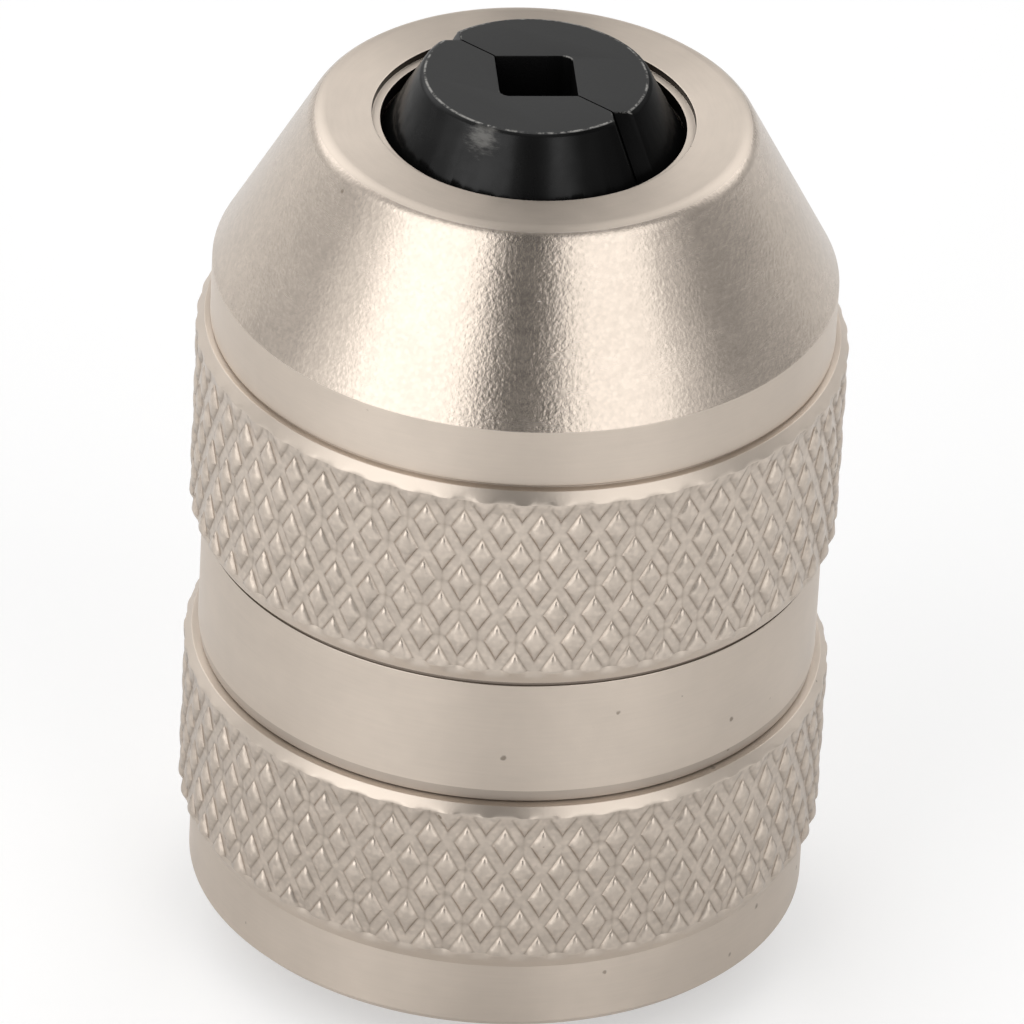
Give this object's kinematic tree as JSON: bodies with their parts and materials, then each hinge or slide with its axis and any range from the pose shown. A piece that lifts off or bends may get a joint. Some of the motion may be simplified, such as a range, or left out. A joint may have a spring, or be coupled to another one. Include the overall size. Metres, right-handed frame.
{
  "type": "adjustable tap chuck socket",
  "caption": "Knurled hand chuck with a square drive socket at the rear; screwing its coned nose cap down closes jaws on the square of a threading tap.",
  "frame": {"origin": "centre of the drive collar's rear face, which the chuck stands on", "axes": "+Z along the turning axis towards the nose, +X the way the right jaw opens"},
  "size_m": [0.023, 0.023, 0.0344],
  "materials": {
    "nickel": "satin nickel plate",
    "black_oxide": "black oxide",
    "spring_steel": "drawn wire"
  },
  "bodies": {
    "drive_body": {"drive_body": "nickel", "jaw_spring_front": "spring_steel", "jaw_spring_back": "spring_steel"},
    "stop_ring": {"stop_ring": "spring_steel"},
    "nose_cap": {"nose_cap": "nickel"},
    "jaw_right": {"jaw_right": "black_oxide"},
    "jaw_left": {"jaw_left": "black_oxide"}
  },
  "joints": [
    {"name": "cap_travel", "type": "slide", "parent": "drive_body", "child": "stop_ring", "axis": [0, 0, 1], "range_m": [0, 0.00479]},
    {"name": "cap_turn", "type": "hinge", "parent": "stop_ring", "child": "nose_cap", "pos_m": [0, 0, 0.0115], "axis": [0, 0, 1], "range_deg": [0, 1723.5]},
    {"name": "jaw_right_travel", "type": "slide", "parent": "drive_body", "child": "jaw_right", "axis": [1, 0, 0], "range_m": [0, 0.00255], "deforming": ["jaw_spring_front", "jaw_spring_back"]},
    {"name": "jaw_left_travel", "type": "slide", "parent": "drive_body", "child": "jaw_left", "axis": [-1, 0, 0], "range_m": [0, 0.00255], "deforming": ["jaw_spring_front", "jaw_spring_back"]}
  ],
  "couplings": [
    {"joint": "cap_travel", "follows": "cap_turn", "m_per_rad": 0.00015915},
    {"joint": "jaw_right_travel", "follows": "cap_turn", "m_per_rad": 0.000084624},
    {"joint": "jaw_left_travel", "follows": "cap_turn", "m_per_rad": 0.000084624}
  ]
}
